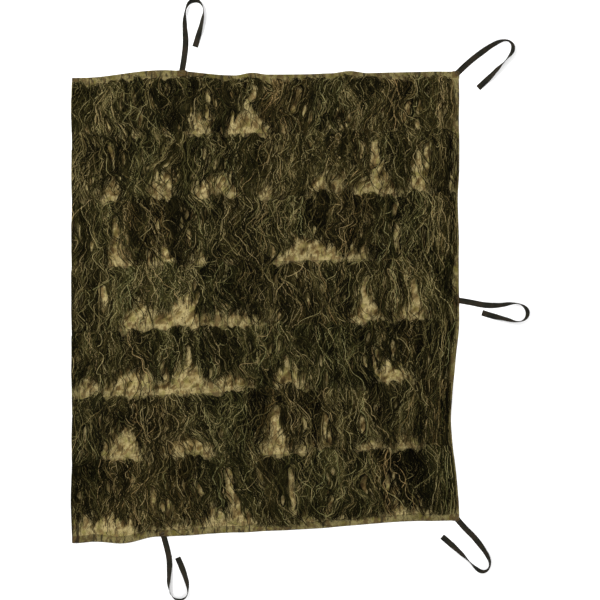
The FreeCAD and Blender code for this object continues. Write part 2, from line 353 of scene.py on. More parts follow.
def yarn_material():
    """Loose spun yarn, whose colour comes from each strand's own dye lot and its fading with painted
    shade.
    """
    material, tree, shader = new_material("yarn")
    colour = ramp_over(tree, stored_value(tree, "fading_and_shade"), YARN_FADE_AND_SHADE)
    tint = ramp_over(tree, stored_value(tree, "tone"), YARN_TINTS)
    colour = tinted(tree, colour, tint)
    place = object_place(tree)
    fibre = noise_of(tree, place, 150, 3, 0.6)
    fleck = ramp_over(tree, fibre, [(0.3, (0.5, 0.5, 0.5, 1)), (0.7, (1.5, 1.47, 1.4, 1))])
    colour = tinted(tree, colour, fleck)
    finish_shader(tree, shader, colour, fibre, 0.8, 1.0, 0.04)
    return material


def webbing_material():
    """Flat woven webbing with ribs across it, painted shade in the grooves between them, and a faded
    dark camouflage dye.
    """
    material, tree, shader = new_material("webbing")
    place = stored_value(tree, "weave", "Vector")
    dye = noise_of(tree, place, 22, 3, 0.6, (1, 0.6, 1))
    colour = ramp_over(tree, dye, [
        (0.34, srgb(14, 14, 10)), (0.48, srgb(28, 27, 17)),
        (0.58, srgb(38, 31, 22)), (0.72, srgb(24, 27, 16)),
    ])
    ribs = add_node(tree, "ShaderNodeTexWave", Scale=260.0, Distortion=0.6, Detail=1.0)
    ribs.bands_direction = "X"
    tree.links.new(place, ribs.inputs["Vector"])
    # Painted shade: the grooves between the ribs are darkened.
    groove_shade = ramp_over(tree, ribs.outputs["Fac"], [(0.2, (0.7, 0.7, 0.7, 1)), (0.7, WHITE)])
    colour = tinted(tree, colour, groove_shade)
    add_bump(tree, shader, ribs.outputs["Fac"], 0.0004)
    finish_shader(tree, shader, colour, dye, 0.7, 0.9, 0.12)
    return material


def stitch_material():
    material, tree, shader = new_material("stitching")
    place = object_place(tree)
    twist = noise_of(tree, place, 900, 2, 0.5)
    colour = ramp_over(tree, twist, [(0.35, srgb(44, 36, 22)), (0.65, srgb(78, 66, 42))])
    add_bump(tree, shader, twist, 0.0002)
    finish_shader(tree, shader, colour, twist, 0.6, 0.8)
    return material


def floor_material():
    material, tree, shader = new_material("pale_floor")
    place = object_place(tree)
    grain = noise_of(tree, place, 30, 2)
    colour = ramp_over(tree, grain, [(0.0, (0.93, 0.93, 0.93, 1)), (1.0, (0.95, 0.95, 0.95, 1))])
    tree.links.new(colour, shader.inputs["Base Color"])
    shader.inputs["Roughness"].default_value = 0.9
    return material


BACKING_CLOTH = camouflage_cloth(
    "backing_cloth", [(158, 143, 98), (126, 116, 66), (110, 92, 56), (80, 68, 40)], shaded_creases=True)
HEM_CLOTH = camouflage_cloth(
    "hem_cloth", [(116, 106, 68), (92, 84, 38), (78, 64, 36), (48, 42, 24)])
ROW_TAPE = camouflage_cloth(
    "row_tape", [(128, 116, 76), (102, 94, 52), (88, 74, 46), (58, 50, 30)])
PATCH_CLOTH = camouflage_cloth(
    "patch_cloth", [(84, 70, 40), (70, 58, 28), (66, 48, 24), (42, 34, 20)])
YARN = yarn_material()
WEBBING = webbing_material()
STITCHING = stitch_material()


# ---- camera and stage ----
CAMERA_LENS = 85.0
CAMERA_SENSOR = 36.0
VIEW_WIDTH = 2.58
VIEW_CENTRE = (0.148, 0.026)
FLOOR_SIZE = 40.0
SKY_STRENGTH = 1.1
# Each light's name, place, size and power.
LIGHTS = [("key_light", (-2.6, 2.6, 4.0), 1.5, 240), ("fill_light", (2.8, -1.8, 4.4), 3.2, 60)]


def make_stage():
    scene = bpy.context.scene
    camera = bpy.data.objects.new("camera", bpy.data.cameras.new("camera"))
    camera.data.lens = CAMERA_LENS
    camera.data.sensor_width = CAMERA_SENSOR
    camera.location = (*VIEW_CENTRE, VIEW_WIDTH * CAMERA_LENS / CAMERA_SENSOR)
    scene.collection.objects.link(camera)
    scene.camera = camera
    scene.view_settings.view_transform = "Standard"

    half = FLOOR_SIZE / 2
    corners = np.array([(-half, -half, 0), (half, -half, 0), (half, half, 0), (-half, half, 0)])
    floor = make_mesh("floor", corners, np.array([[0, 1, 2, 3]]), floor_material(), False)

    world = bpy.data.worlds.new("studio")
    world.use_nodes = True
    sky = world.node_tree.nodes["Background"]
    sky.inputs["Color"].default_value = WHITE
    sky.inputs["Strength"].default_value = SKY_STRENGTH
    scene.world = world
    for light in LIGHTS:
        add_light(*light)


def add_light(name, place, size, power):
    light = bpy.data.lights.new(name, "AREA")
    light.size = size
    light.energy = power
    obj = bpy.data.objects.new(name, light)
    obj.location = place
    toward = -np.array(place)
    pitch = math.acos(-toward[2] / np.linalg.norm(toward))
    obj.rotation_euler = (pitch, 0, math.atan2(toward[1], toward[0]) - math.pi / 2)
    bpy.context.scene.collection.objects.link(obj)


# ---- ties ----
# How far the webbing leans onto its edge, in degrees, at shares of its length.
TILT_SHARES = [0, 0.20, 0.34, 0.47, 0.57, 0.68, 0.80, 0.93, 1]
TILT_DEGREES = [0, 6, 42, 85, 52, 85, 45, 5, 0]
TIE_BASE = 0.0023
TAB_BASE = 0.0008
TAB_LENGTH = 0.040


def line_points(name, points):
    """Points along a smooth curve that has a route's points as its control points."""
    curve = bpy.data.curves.new(name + "_line", "CURVE")
    curve.dimensions = "3D"
    curve.resolution_u = 10
    spline = curve.splines.new("NURBS")
    spline.points.add(len(points) - 1)
    for point, place in zip(spline.points, points):
        point.co = (*place, 1)
    spline.order_u = 3
    spline.use_endpoint_u = True
    holder = bpy.data.objects.new(name + "_line", curve)
    mesh = bpy.data.meshes.new_from_object(holder)
    line = np.array([v.co for v in mesh.vertices], float)
    bpy.data.meshes.remove(mesh)
    bpy.data.objects.remove(holder)
    return line


def unit(vectors):
    """Vectors along the last axis, made one long."""
    return vectors / np.linalg.norm(vectors, axis=-1, keepdims=True)


def travelled(line):
    """How far along a line each of its points is."""
    steps = np.linalg.norm(np.diff(line, axis=0), axis=1)
    return np.concatenate([[0], np.cumsum(steps)])


def root_and_heading(name):
    """Where a tie's root is, and the way it leaves, on the ground."""
    route = np.array(TIE_ROUTES[name])
    return route[0], unit(route[1] - route[0])


def ribbon_section():
    """Points round a flat webbing section with rounded edges, as (across, through) pairs."""
    half = WEBBING_WIDTH / 2
    thick = WEBBING_THICKNESS / 2
    flat = half - thick
    upper = [(-flat, thick), (-0.4 * half, thick * 1.1), (0.4 * half, thick * 1.1), (flat, thick)]
    lower = [(-x, -z) for x, z in upper]
    return np.array(upper + [(half, 0)] + lower + [(-half, 0)])[::-1]


def ribbon(name, line, tilt, width):
    """Flat webbing along a line, tilted onto its edge and narrowed where asked."""
    along = unit(np.gradient(line, axis=0))
    side = unit(np.stack([-along[:, 1], along[:, 0], np.zeros(len(line))], axis=1))
    normal = np.cross(along, side)
    cos, sin = np.cos(tilt)[:, None], np.sin(tilt)[:, None]
    across = side * cos + normal * sin
    through = normal * cos - side * sin
    section = ribbon_section()
    reach = width[:, None, None] * section[None, :, :1]
    points = line[:, None, :] + across[:, None, :] * reach
    points = points + through[:, None, :] * section[None, :, 1:]
    sides = len(section)
    obj = close_tube(name, points.reshape(-1, 3), sides, WEBBING)
    spread = (width[:, None] * section[None, :, 0]).ravel()
    store(obj, "weave", np.stack([travelled(line).repeat(sides), spread, 0 * spread], axis=1))
    return obj


def eased(share, stops, values):
    """Values between stops, eased in and out of each."""
    after = np.clip(np.searchsorted(stops, share, side="right"), 1, len(stops) - 1)
    stops = np.array(stops)
    start, end = stops[after - 1], stops[after]
    way = smooth_step((share - start) / (end - start))
    return values[after - 1] + (values[after] - values[after - 1]) * way


def make_tie(name):
    """One tie: flat at its root and its end, and on its edge either side of its turn."""
    route = TIE_ROUTES[name]
    line = line_points(name, [(x, y, TIE_BASE) for x, y in route])
    travel = travelled(line)
    tilt = eased(travel / travel[-1], TILT_SHARES, np.radians(TILT_DEGREES))
    line[:, 2] = TIE_BASE + WEBBING_WIDTH / 2 * np.sin(tilt)
    obj = ribbon(f"{name}_webbing", line, tilt, np.ones(len(line)))
    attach(obj, f"{name}_end")
    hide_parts(name)


def close_tube(name, points, sides, material):
    """A tube of rings of points whose two ends are closed by quads across the ring."""
    faces = loop_faces(len(points) // sides, sides)
    half = sides // 2
    last = len(points) - sides
    caps = []
    for base, flip in ((0, True), (last, False)):
        for i in range(half - 1):
            quad = [base + i, base + i + 1, base + sides - 2 - i, base + sides - 1 - i]
            caps.append(quad[::-1] if flip else quad)
    return make_mesh(name, points, np.concatenate([faces, np.array(caps)]), material)


# Where the yarn has parted or ridden up and the backing shows: left, right, top and
# bottom of each bare patch, and the share of strands that have left it.
BARE_PATCHES = {
    1: [(-0.36, -0.21, 0.84, 0.735, 0.88), (-0.17, 0.03, 0.87, 0.735, 0.93),
        (-0.81, -0.75, 0.78, 0.73, 0.6), (-0.58, -0.5, 0.78, 0.73, 0.6)],
    2: [(-0.7, -0.61, 0.6, 0.44, 0.8), (-0.51, -0.39, 0.58, 0.44, 0.8),
        (-0.3, -0.1, 0.6, 0.45, 0.84), (-0.06, 0.04, 0.53, 0.44, 0.75),
        (0.17, 0.36, 0.61, 0.46, 0.84), (0.4, 0.57, 0.68, 0.47, 0.86),
        (0.59, 0.75, 0.67, 0.47, 0.86)],
    3: [(-0.7, -0.56, 0.31, 0.18, 0.86), (-0.48, -0.38, 0.25, 0.18, 0.72),
        (-0.35, -0.24, 0.25, 0.19, 0.72), (0.02, 0.32, 0.3, 0.18, 0.95),
        (0.3, 0.44, 0.25, 0.19, 0.6)],
    4: [(-0.64, -0.42, 0.01, -0.1, 0.84), (-0.45, -0.22, 0.04, -0.1, 0.93),
        (-0.24, 0.05, -0.02, -0.1, 0.75), (0.35, 0.52, 0.03, -0.07, 0.66),
        (0.57, 0.72, 0.03, -0.07, 0.66)],
    5: [(-0.84, -0.68, -0.31, -0.41, 0.86), (-0.71, -0.38, -0.27, -0.41, 0.93),
        (-0.42, -0.23, -0.26, -0.38, 0.92), (-0.26, -0.03, -0.3, -0.37, 0.78),
        (0.04, 0.17, -0.28, -0.36, 0.86), (0.44, 0.68, -0.25, -0.36, 0.9)],
    6: [(-0.72, -0.51, -0.51, -0.69, 0.97), (-0.42, -0.23, -0.55, -0.66, 0.74),
        (-0.03, 0.1, -0.52, -0.66, 0.76), (0.12, 0.32, -0.57, -0.64, 0.7),
        (0.36, 0.54, -0.57, -0.63, 0.76), (0.56, 0.72, -0.57, -0.62, 0.72)],
    7: [(-0.82, -0.53, -0.89, -0.97, 0.82), (-0.24, -0.09, -0.84, -0.95, 0.78),
        (0.11, 0.23, -0.85, -0.94, 0.75)],
}

# Where the strands have only parted: middle, top, bottom and half the opening's width.
PARTINGS = {
    1: [(-0.25, 0.93, 0.87, 0.018), (-0.054, 0.95, 0.87, 0.02), (0.131, 0.95, 0.82, 0.019),
        (0.23, 0.9, 0.83, 0.013), (0.61, 0.89, 0.81, 0.014)],
    2: [(-0.66, 0.72, 0.56, 0.014), (0.47, 0.72, 0.6, 0.02), (0.7, 0.71, 0.6, 0.02),
        (-0.26, 0.69, 0.62, 0.013)],
    3: [(-0.64, 0.4, 0.28, 0.018), (-0.33, 0.34, 0.24, 0.013), (0.56, 0.36, 0.22, 0.014),
        (0.68, 0.35, 0.22, 0.013)],
    4: [(-0.69, 0.1, -0.05, 0.016), (0.43, 0.14, -0.04, 0.022), (0.64, 0.13, -0.04, 0.022)],
    5: [(-0.33, -0.16, -0.27, 0.014), (0.09, -0.2, -0.33, 0.015), (0.55, -0.14, -0.24, 0.015)],
    6: [(0.045, -0.42, -0.55, 0.026), (0.26, -0.45, -0.6, 0.018), (0.42, -0.46, -0.56, 0.013)],
    7: [(-0.15, -0.68, -0.94, 0.026), (0.11, -0.68, -0.9, 0.02), (0.43, -0.72, -0.82, 0.018),
        (-0.48, -0.76, -0.92, 0.014), (0.28, -0.78, -0.9, 0.014)],
}


# ---- how the cloth lies ----
CLOTH_THICKNESS = 0.0007
CLOTH_BASE = 0.0014
CLOTH_GRID = 0.007
CLOTH_INSET = 0.008
CLOTH_OVERLAP = 0.006
CRUMPLE = 0.0085
FLAT_BELOW_SEAM = 0.024
FLAT_ABOVE_SEAM = 0.030


def ridges(x, y, seed):
    """Sharp creases between soft valleys, from 0 to 1."""
    return 1 - np.abs(noise(x, y, seed))


def bareness(x, y):
    """How bare of yarn the backing is at a place, from 0 to 1."""
    most = np.zeros_like(x)
    for patches in BARE_PATCHES.values():
        for left, right, top, bottom, _ in patches:
            sides = smooth_step((np.minimum(x - left, right - x) + 0.03) / 0.04)
            ends = smooth_step((np.minimum(top - y, y - bottom) + 0.04) / 0.04)
            most = np.maximum(most, sides * ends)
    return most


def cloth_creases(x, y):
    """How high on a crease a place of the backing is, from 0 in a valley to 1."""
    bend = 0.5 * noise(x / 0.09, y / 0.09, 5)
    folds = ridges((0.8 * x - 0.6 * y) / 0.026 + bend, (0.6 * x + 0.8 * y) / 0.11, 21) ** 2
    small = ridges((0.6 * x - 0.8 * y) / 0.017 + bend, (0.8 * x + 0.6 * y) / 0.045, 22) ** 2
    return 0.6 * folds + 0.4 * small


def cloth_freedom(x, y):
    """How free the backing is to crease at a place: 0 where it is sewn, 1 between."""
    free = np.ones_like(x)
    for row in ROWS:
        above = y - SEAMS[row](x)
        beyond = np.maximum(above - FLAT_ABOVE_SEAM, -FLAT_BELOW_SEAM - above)
        free = np.minimum(free, smooth_step(beyond / 0.014 + 0.2))
    free = np.minimum(free, smooth_step((TOP_EDGE(x) - y) / 0.04 - 0.7))
    free = np.minimum(free, smooth_step((y - BOTTOM_EDGE(x)) / 0.04 - 0.7))
    return np.minimum(free, smooth_step((HALF_WIDTH - np.abs(x)) / 0.04 - 0.7))


def cloth_height(x, y):
    """The upper side of the backing: creased between the seams, flat where it is sewn."""
    loose = CRUMPLE * (0.5 + 0.8 * bareness(x, y))
    return CLOTH_BASE + loose * cloth_freedom(x, y) * cloth_creases(x, y)


# ---- how the edges wander ----
def hump(x, centre, reach):
    """1 at the centre, easing to 0 at its reach."""
    return smooth_step(1 - np.abs(x - centre) / reach)


def sum_of_humps(humps, place):
    """The outward shift of an edge that humps of (centre, reach, height) give it."""
    return sum(height * hump(place, centre, reach) for centre, reach, height in humps)


TOP_HUMPS = [(-0.45, 0.33, 0.028), (-0.06, 0.07, 0.010), (0.36, 0.08, 0.008)]
BOTTOM_HUMPS = [(-0.80, 0.14, 0.010), (-0.62, 0.15, 0.022), (0.58, 0.36, -0.010)]
RIGHT_HUMPS = [(-0.47, 0.43, -0.034), (0.43, 0.16, -0.006)]


def wandering(humps, cell, seed):
    """How far out an edge wanders, as a function of the place along it."""
    return lambda place: sum_of_humps(humps, place) + 0.0015 * noise(place / cell, 0, seed)


top_shift = wandering(TOP_HUMPS, 0.09, 31)
bottom_shift = wandering(BOTTOM_HUMPS, 0.08, 32)
right_shift = wandering(RIGHT_HUMPS, 0.10, 33)
left_shift = wandering([], 0.14, 34)


def warp(x, y):
    """Moves points of the cover so that its outline wanders as the hems do."""
    across = np.clip(x / HALF_WIDTH, -1, 1)
    middle = (TOP_EDGE(x) + BOTTOM_EDGE(x)) / 2
    up = np.clip((y - middle) / (TOP_EDGE(x) - middle), -1, 1)
    to_right = right_shift(y) * np.clip(across, 0, 1) ** 4
    to_left = left_shift(y) * np.clip(-across, 0, 1) ** 4
    to_top = top_shift(x) * np.clip(up, 0, 1) ** 8
    to_bottom = bottom_shift(x) * np.clip(-up, 0, 1) ** 8
    return x + to_right - to_left, y + to_top - to_bottom


# ---- bending at the folds ----
# Each fold: the panel that turns, the line it turns about, the side that panel is on,
# and how far out on it the bend reaches.
FOLDS = {
    "top_fold": ("top_panel", TOP_FOLD, 1, 0.040),
    "bottom_fold": ("bottom_panel", BOTTOM_FOLD, -1, 0.070),
}
BEND_INSIDE = 0.010
ROW_PLACES = {
    1: "top_panel", 2: "top_fold", 3: "top_fold", 4: "middle_panel", 5: "bottom_fold",
    6: "bottom_fold", 7: "bottom_panel",
}


def bending(x, y):
    """1 where the cover bends at a fold, easing to 0 on either side."""
    most = np.zeros_like(x)
    for _, line, side, reach in FOLDS.values():
        out = side * (y - line(x))
        inside = np.minimum(out + BEND_INSIDE, reach - out)
        most = np.maximum(most, smooth_step(inside / 0.03 + 0.7))
    return most


def follow(obj, place):
    """Attaches a piece to its panel's body; a piece at a fold only has its transform baked into its
    mesh.
    """
    if place in FOLDS:
        panel, line, side, reach = FOLDS[place]
        slope = line(1.0) - line(0.0)
        middle = np.array([0, line(0.0), 0])
        if side > 0:
            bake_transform(obj)
        else:
            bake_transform(obj)
    else:
        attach(obj, place)


def place_piece(obj, nodes, place):
    """Hides the nodes that a piece replaces, and lets follow() place it for its panel or fold."""
    if nodes:
        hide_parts(*nodes)
    follow(obj, place)
    return obj


# ---- backing ----
def backing_sheet(name, upper_line, lower_line, lift, nodes, place):
    """One width of the backing between two lines, with its own width and length."""
    height = upper_line(0.0) - lower_line(0.0)
    columns = round(2 * HALF_WIDTH / CLOTH_GRID) + 1
    rows = round(height / CLOTH_GRID) + 1
    half = HALF_WIDTH - CLOTH_INSET
    x = np.linspace(-half, half, columns)[None, :].repeat(rows, 0)
    share = np.linspace(0, 1, rows)[:, None]
    y = lower_line(x) + (upper_line(x) - lower_line(x)) * share
    z = cloth_height(x, y) + lift
    px, py = warp(x, y)
    obj = slab(name, np.stack([px, py, z], axis=2), CLOTH_THICKNESS, BACKING_CLOTH)
    # The crest value drives the painted shade in the crease valleys: 1 on ridges and where the cloth
    # is sewn flat, lower in the valleys.
    crest = 1 - cloth_freedom(x, y) * (1 - cloth_creases(x, y))
    store(obj, "crest", np.tile(crest.ravel(), 2))
    return place_piece(obj, nodes, place), 2 * half, height


def make_backing():
    """Two widths of cloth that overlap under the fourth row's seam."""
    upper = backing_sheet(
        "backing_upper", shifted(TOP_EDGE, -CLOTH_INSET), shifted(SEAMS[4], -CLOTH_OVERLAP),
        0.0009, ["backing_top", "backing_middle"], "top_fold")
    lower = backing_sheet(
        "backing_lower", shifted(SEAMS[4], CLOTH_OVERLAP), shifted(BOTTOM_EDGE, CLOTH_INSET),
        0.0, ["backing_bottom"], "bottom_fold")
    return upper, lower


# ---- hems ----
HEM_STEP = 0.007
# The hem's section: the way in from its edge, and the height.
HEM_SECTION = [
    (0.0300, 0.0006), (0.0150, 0.0005), (0.0020, 0.0005), (0.0000, 0.0017), (0.0012, 0.0031),
    (0.0050, 0.0037), (0.0080, 0.0031), (0.0140, 0.0038), (0.0220, 0.0037), (0.0260, 0.0031),
    (0.0290, 0.0030), (0.0305, 0.0018),
]


def between(start, end, share):
    """x and y of the points at shares of the way between two places."""
    return [a + (b - a) * share for a, b in zip(start, end)]


def hem_band(name, start, end, side, inward, place, nodes, seed):
    """A folded hem along an edge, puckered between its two lines of stitches."""
    length = math.dist(start, end)
    count = max(4, round(length / HEM_STEP)) + 1
    share = np.linspace(0, 1, count)
    x, y = EDGES[side](*between(start, end, share))
    travel = (share * length)[:, None]
    across, height = np.array(HEM_SECTION).T
    pucker = noise(travel / 0.011, across / 0.012 + seed, 41 + seed)
    swell = noise(travel / 0.045, across / 0.03, 51 + seed)
    lift = 0.0013 * (1 + noise(travel / 0.10, 0, 61 + seed))
    inner = across * (1 + 0.10 * swell * (across > 0.02))
    z = height + lift + (height > 0.0025) * (0.0005 * pucker + 0.0008 * swell)
    points = np.stack([x[:, None] + inward[0] * inner, y[:, None] + inward[1] * inner, z], axis=2)
    points = points.reshape(-1, 3)
    obj = close_tube(name, points, len(HEM_SECTION), HEM_CLOTH)
    store(obj, "cloth", points)
    return place_piece(obj, nodes, place)


# Each edge, moved out as its hem wanders.
EDGES = {
    "top": lambda x, y: (x, y + top_shift(x)),
    "bottom": lambda x, y: (x, y - bottom_shift(x)),
    "right": lambda x, y: (x + right_shift(y), y),
    "left": lambda x, y: (x - left_shift(y), y),
}
HEM_TUCK = 0.012


def side_stops(x, inset):
    """The ends of a side's two lengths: near its top, at the fourth seam, near its bottom."""
    return [(x, TOP_EDGE(x) - inset), (x, SEAMS[4](x)), (x, BOTTOM_EDGE(x) + inset)]


def make_hems():
    """The top and bottom hems run the full width, and the side hems end under them."""
    left, right = -HALF_WIDTH, HALF_WIDTH
    upper = [hem_band(
        "top_hem_band", (left, TOP_EDGE(left)), (right, TOP_EDGE(right)), "top", (0.01, -1),
        "top_panel", ["top_hem"], 1)]
    lower = [hem_band(
        "bottom_hem_band", (right, BOTTOM_EDGE(right)), (left, BOTTOM_EDGE(left)), "bottom",
        (0.01, 1), "bottom_panel", ["bottom_hem"], 2)]
    for side, x, way in (("right", right, 1), ("left", left, -1)):
        # Down the right side and up the left, so that the faces point outward.
        stops = side_stops(x, HEM_TUCK)
        upper.append(hem_band(
            f"{side}_hem_upper", *stops[:2][::way], side, (-way, 0), "top_fold",
            [f"{side}_hem_top", f"{side}_hem_middle"], 3))
        lower.append(hem_band(
            f"{side}_hem_lower", *stops[1:][::way], side, (-way, 0), "bottom_fold",
            [f"{side}_hem_bottom"], 4))
    return upper, lower


# ---- row tapes and patches ----
TAPE_HEIGHT = 0.0045
PATCH_HEIGHT = 0.0062


def make_row_tape(row):
    """The flat tape that holds one row of yarn, lying on the backing."""
    half = HALF_WIDTH - TAPE_END_INSET
    count = round(2 * half / 0.010) + 1
    x = np.linspace(-half, half, count)[None, :].repeat(5, 0)
    side = np.linspace(-1, 1, 5)[:, None]
    y = SEAMS[row](x) + side * TAPE_HALF_WIDTH
    z = TAPE_HEIGHT + 0.0006 * noise(x / 0.03, y / 0.03, 70 + row)
    px, py = warp(x, y)
    obj = slab(f"row_tape_strip_{row}", np.stack([px, py, z], axis=2), 0.0012, ROW_TAPE)
    place_piece(obj, [f"row_tape_{row}"], ROW_PLACES[row])


PATCHES = [
    "top_left_corner", "top_right_corner", "top_tie", "right_tie", "bottom_left_corner",
    "bottom_right_corner", "bottom_tie",
]


def make_patch(patch, seed):
    """A square of doubled cloth sewn over the hem where a tie or a corner needs it."""
    node = f"{patch}_patch"
    low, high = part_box(node)
    u, v = np.meshgrid(np.linspace(-1, 1, 15), np.linspace(-1, 1, 15))
    pinch = 1 - 0.05 * (u * v) ** 2
    x = (low.x + high.x) / 2 + u * pinch * (high.x - low.x) / 2
    y = (low.y + high.y) / 2 + v * pinch * (high.y - low.y) / 2
    rim = np.maximum(np.abs(u), np.abs(v))
    z = PATCH_HEIGHT - 0.0012 * smooth_step((rim - 0.75) / 0.25)
    z += 0.0008 * noise(x / 0.012, y / 0.012, 80 + seed)
    obj = slab(f"{node}_cloth", np.stack([x, y, z], axis=2), 0.0012, PATCH_CLOTH)
    place_piece(obj, [node], panel_of(patch))


# ---- stitches ----
def make_stitches(name, places, headings, length, radius, place, nodes=()):
    """Short thread stitches, lying along their headings."""
    angles = np.arange(4) * math.pi / 2
    # Each ring's place along the stitch, its girth, and how far it rises.
    rings = [(-0.5, 0.3, -0.4), (-0.22, 1, 0.35), (0.22, 1, 0.35), (0.5, 0.3, -0.4)]
    along = np.stack([np.cos(headings), np.sin(headings), 0 * headings], axis=1)
    across = np.stack([-along[:, 1], along[:, 0], 0 * headings], axis=1)
    parts = []
    up = np.array([0, 0, 1])
    for step, swell, rise in rings:
        centre = places + along * step * length + up * rise * radius
        for angle in angles:
            out = across * math.cos(angle) + up * math.sin(angle)
            parts.append(centre + out * swell * radius)
    points = np.stack(parts, axis=1)
    one = np.concatenate([loop_faces(4, 4), [[3, 2, 1, 0]], [[12, 13, 14, 15]]])
    faces = (one[None] + 16 * np.arange(len(places))[:, None, None]).reshape(-1, 4)
    obj = make_mesh(name, points.reshape(-1, 3), faces, STITCHING)
    place_piece(obj, nodes, place)


STITCH_PITCH = 0.0055
STITCH_DEPTHS = (0.008, 0.026)
STITCH_HEIGHT = 0.0044
STITCH_INSET = 0.05


def hem_stitches(name, start, end, side, inward, place):
    """Two lines of stitches along a hem."""
    length = math.dist(start, end)
    count = int(length / STITCH_PITCH)
    share = (np.arange(count) + 0.5) / count
    x, y = EDGES[side](*between(start, end, share))
    heading = math.atan2(end[1] - start[1], end[0] - start[0])
    places = []
    for depth in STITCH_DEPTHS:
        z = np.full(count, STITCH_HEIGHT)
        places.append(np.stack([x + inward[0] * depth, y + inward[1] * depth, z], axis=1))
    make_stitches(
        name, np.concatenate(places), np.full(2 * count, heading), 0.0036, 0.0005, place)


def make_hem_stitches():
    left, right = -HALF_WIDTH + STITCH_INSET, HALF_WIDTH - STITCH_INSET
    for side, line, way in (("top", TOP_EDGE, -1), ("bottom", BOTTOM_EDGE, 1)):
        hem_stitches(
            f"{side}_hem_stitches", (left, line(left)), (right, line(right)), side, (0, way),
            f"{side}_panel")
    for side, x, way in (("right", HALF_WIDTH, -1), ("left", -HALF_WIDTH, 1)):
        stops = side_stops(x, STITCH_INSET)
        hem_stitches(f"{side}_hem_stitches_upper", *stops[:2], side, (way, 0), "top_fold")
        hem_stitches(f"{side}_hem_stitches_lower", *stops[1:], side, (way, 0), "bottom_fold")


BAR_STITCHES = 14
BAR_SPACING = 0.0013
BAR_HEIGHT = 0.0066
ZIGZAG = 0.35


def make_bartack(name):
    """Two bars of close zigzag stitches that hold a tie's root to its patch."""
    low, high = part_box(f"{name}_bartack")
    centre = np.array([(low.x + high.x) / 2, (low.y + high.y) / 2])
    _, along = root_and_heading(name)
    side = np.array([-along[1], along[0]])
    heading = math.atan2(along[1], along[0])
    places, headings = [], []
    for bar in (-0.006, 0.006):
        for i in range(BAR_STITCHES):
            spot = centre + along * bar + side * (i - (BAR_STITCHES - 1) / 2) * BAR_SPACING
            places.append((*spot, BAR_HEIGHT))
            headings.append(heading + (ZIGZAG if i % 2 else -ZIGZAG))
    make_stitches(
        f"{name}_bartack_stitches", np.array(places), np.array(headings), 0.0042, 0.0005,
        panel_of(name), [f"{name}_bartack"])


def make_tab(name):
    """The sewn end of a tie: it runs out under the hem to the pivot, and ends round."""
    root, along = root_and_heading(name)
    half = WEBBING_WIDTH / 2
    rounding = half * np.sin(np.linspace(0.15, 1.0, 8) * math.pi / 2) * 0.98
    distance = np.concatenate([np.linspace(-TAB_LENGTH, 0, 12), rounding])
    width = np.sqrt(np.clip(1 - (np.clip(distance, 0, 1) / half) ** 2, 0.02, 1))
    line = np.zeros((len(distance), 3))
    line[:, :2] = root + along * distance[:, None]
    line[:, 2] = TAB_BASE
    obj = ribbon(f"{name}_tab_webbing", line, np.zeros(len(line)), width)
    place_piece(obj, [f"{name}_tab"], panel_of(name))


# ---- yarn ----
# The height of the topmost strands at shares of their length.
CREST_SHARES = [0, 0.035, 0.08, 0.2, 0.65, 0.9, 1.0]
CREST_HEIGHTS = [0.0052, 0.014, 0.0235, 0.0265, 0.022, 0.015, 0.0100]
UNDER_STRANDS = 1900
UNDER_STEPS = 15
OUTER_STRANDS = 1400
OUTER_STEPS = 42
YARN_RIGHT = 0.803
YARN_FLOOR = 0.0062
STRAND_CLEARANCE = 0.0026
BEND_CLEARANCE = 0.006
YARN_TOP = 0.0292
ROOT_HEIGHT = 0.0050
RIGHT_MARGIN = 0.780
BELOW_TOP_EDGE = 0.027
ABOVE_BOTTOM_EDGE = 0.030
STRAY_SHARE = 0.12
# Each curl's shortest and longest wave, and its size.
CURLS = [(0.085, 0.16, 0.0085), (0.04, 0.075, 0.0042)]


def row_end(row):
    """The line that a row's strands hang down to."""
    return SEAMS[row + 1] if row < 7 else shifted(BOTTOM_EDGE, HEM_WIDTH + 0.012)


def root_line(row, x):
    """The wavering line that a row's yarn springs from, at and above its seam."""
    place = x / 0.105 + 0.5 * noise(x / 0.17, 3 * row, 95) + 0.37 * row
    lobe = np.floor(place)
    arc = (1 - (2 * (place - lobe) - 1) ** 2) ** 0.6
    height = 0.5 + 0.5 * noise(lobe, row, 96)
    small = noise(x / 0.03, 3 * row, 97)
    return SEAMS[row](x) - 0.018 + (0.012 + 0.034 * height) * arc + 0.003 * small


def row_tufts(row):
    """How each sewn tuft of a row sits: its place, spread, lean, length and colour."""
    rng = np.random.default_rng(300 + row)
    edges = [-HALF_WIDTH - 0.004]
    while edges[-1] < YARN_RIGHT:
        edges.append(edges[-1] + rng.choice([0.026, 0.036, 0.05, 0.08]) * rng.uniform(0.9, 1.2))
    edges = np.array(edges)
    centres = (edges[1:] + edges[:-1]) / 2
    halves = np.diff(edges) / 2
    count = len(centres)
    return {
        "centre": centres,
        "half": halves,
        "lean": rng.normal(0, 0.12, count) + 0.18 * noise(centres / 0.22, 0, row),
        "lobe": 0.005 + 0.28 * halves * rng.uniform(0.4, 1.5, count),
        "fan": rng.uniform(0.9, 1.9, count),
        "reach": rng.uniform(0.98, 1.14, count),
        "weight": halves * rng.uniform(0.55, 1.3, count),
        "tone": rng.normal(0, 0.08, count),
        "fading_and_shade": rng.normal(0, 0.06, count),
    }


def bared(row, root, drift, fall, clearing, rng):
    """How far each strand hangs once the bare patches have pushed some of them up."""
    count = len(root)
    top_of_row = SEAMS[row](root)
    for left, right, top, bottom, share in BARE_PATCHES[row]:
        height = top - bottom
        at_patch = root + drift * (top_of_row - (top + bottom) / 2)
        ragged = 0.010 * noise(root / 0.03, 0, 90 + row)
        depth = np.minimum(at_patch - left, right - at_patch) + ragged
        chance = share**clearing * smooth_step(depth / 0.03 + 0.5)
        leaves = rng.uniform(0, 1, count) < chance
        inside = smooth_step(2.4 * depth / (right - left))
        crown = bottom + height * (0.45 + 0.60 * inside)
        room = top_of_row - crown + height * rng.uniform(-0.42, 0.28, count)
        fall = np.where(leaves, np.minimum(fall, np.maximum(room, 0.012)), fall)
    return fall


